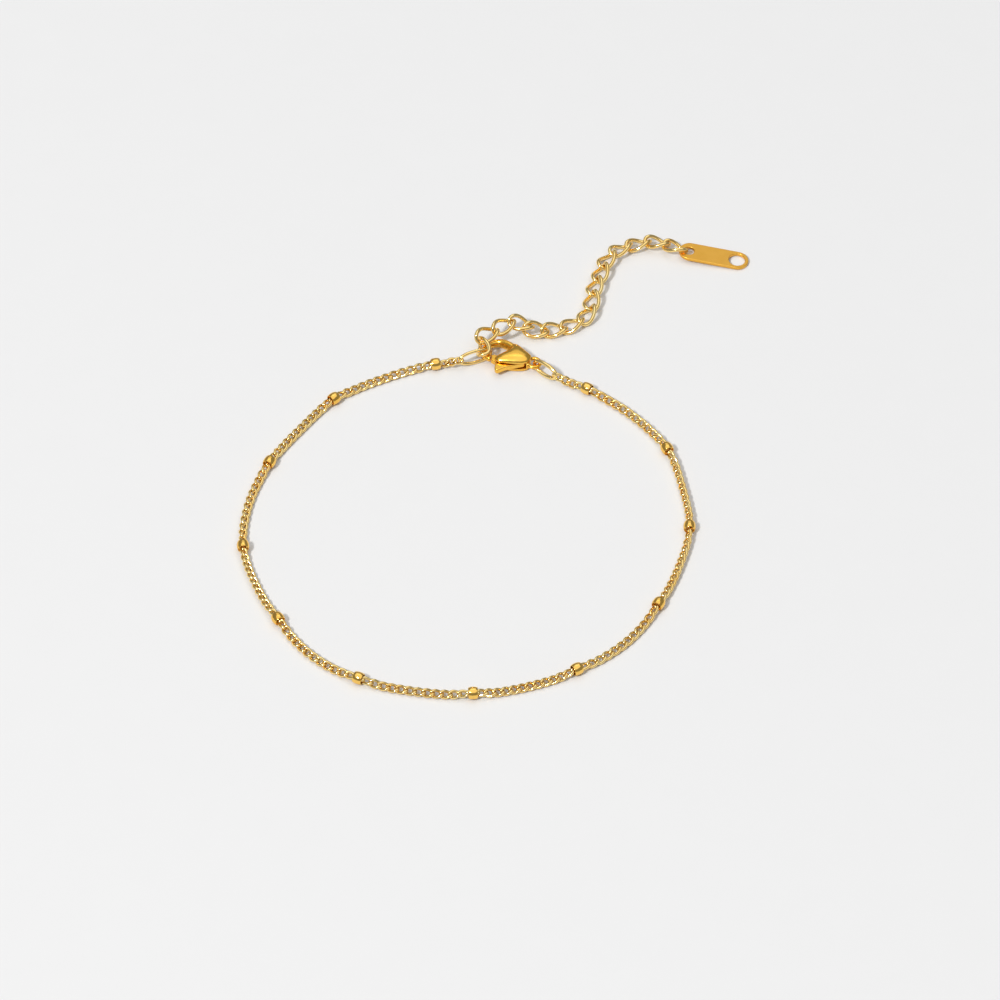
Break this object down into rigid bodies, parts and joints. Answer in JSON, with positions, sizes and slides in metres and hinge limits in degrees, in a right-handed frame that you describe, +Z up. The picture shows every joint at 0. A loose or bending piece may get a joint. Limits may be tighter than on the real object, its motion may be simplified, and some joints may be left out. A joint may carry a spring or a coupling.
{
  "type": "beaded anklet",
  "caption": "Fine gold-coloured curb chain anklet with small barrel beads spaced along it, a lobster clasp with a sprung lever, and a coarser curb extender ending in a plain tag.",
  "frame": {"origin": "middle of the underside of the whole anklet's box, on the surface it lies on", "axes": "+Z up from the surface; +Y along the longest side, from the plain front of the loop to the clasp and the extender; +X to the right as pictured"},
  "size_m": [0.0818, 0.1002, 0.0038],
  "materials": {
    "chain": "polished gold plate",
    "bead": "polished gold plate",
    "ring": "polished gold plate",
    "clasp": "polished gold plate",
    "extender": "polished gold plate",
    "tag": "satin gold plate"
  },
  "bodies": {
    "anklet": {"bead_01": "bead", "bead_02": "bead", "bead_03": "bead", "bead_04": "bead", "bead_05": "bead", "bead_06": "bead", "bead_07": "bead", "bead_08": "bead", "bead_09": "bead", "bead_10": "bead", "bead_11": "bead", "bead_12": "bead", "chain_01": "chain", "chain_02": "chain", "chain_03": "chain", "chain_04": "chain", "chain_05": "chain", "chain_06": "chain", "chain_07": "chain", "chain_08": "chain", "chain_09": "chain", "chain_10": "chain", "chain_11": "chain", "chain_12": "chain", "chain_13": "chain", "clasp_body": "clasp", "clasp_ring": "ring", "end_ring": "ring", "ext_link_01": "extender", "ext_link_02": "extender", "ext_link_03": "extender", "ext_link_04": "extender", "ext_link_05": "extender", "ext_link_06": "extender", "ext_link_07": "extender", "ext_link_08": "extender", "ext_link_09": "extender", "ext_link_10": "extender", "ext_link_11": "extender", "ext_link_12": "extender", "ext_link_13": "extender", "ext_link_14": "extender", "ext_link_15": "extender", "ext_link_16": "extender", "tag": "tag"},
    "lever": {"clasp_lever": "clasp"}
  },
  "joints": [
    {"name": "lever_hinge", "type": "hinge", "parent": "anklet", "child": "lever", "pos_m": [0.00375, 0.02122, 0.0012], "axis": [0, 0, -1], "range_deg": [0, 22], "stiffness_Nm_per_rad": 0.006, "springref_deg": -28.65}
  ]
}
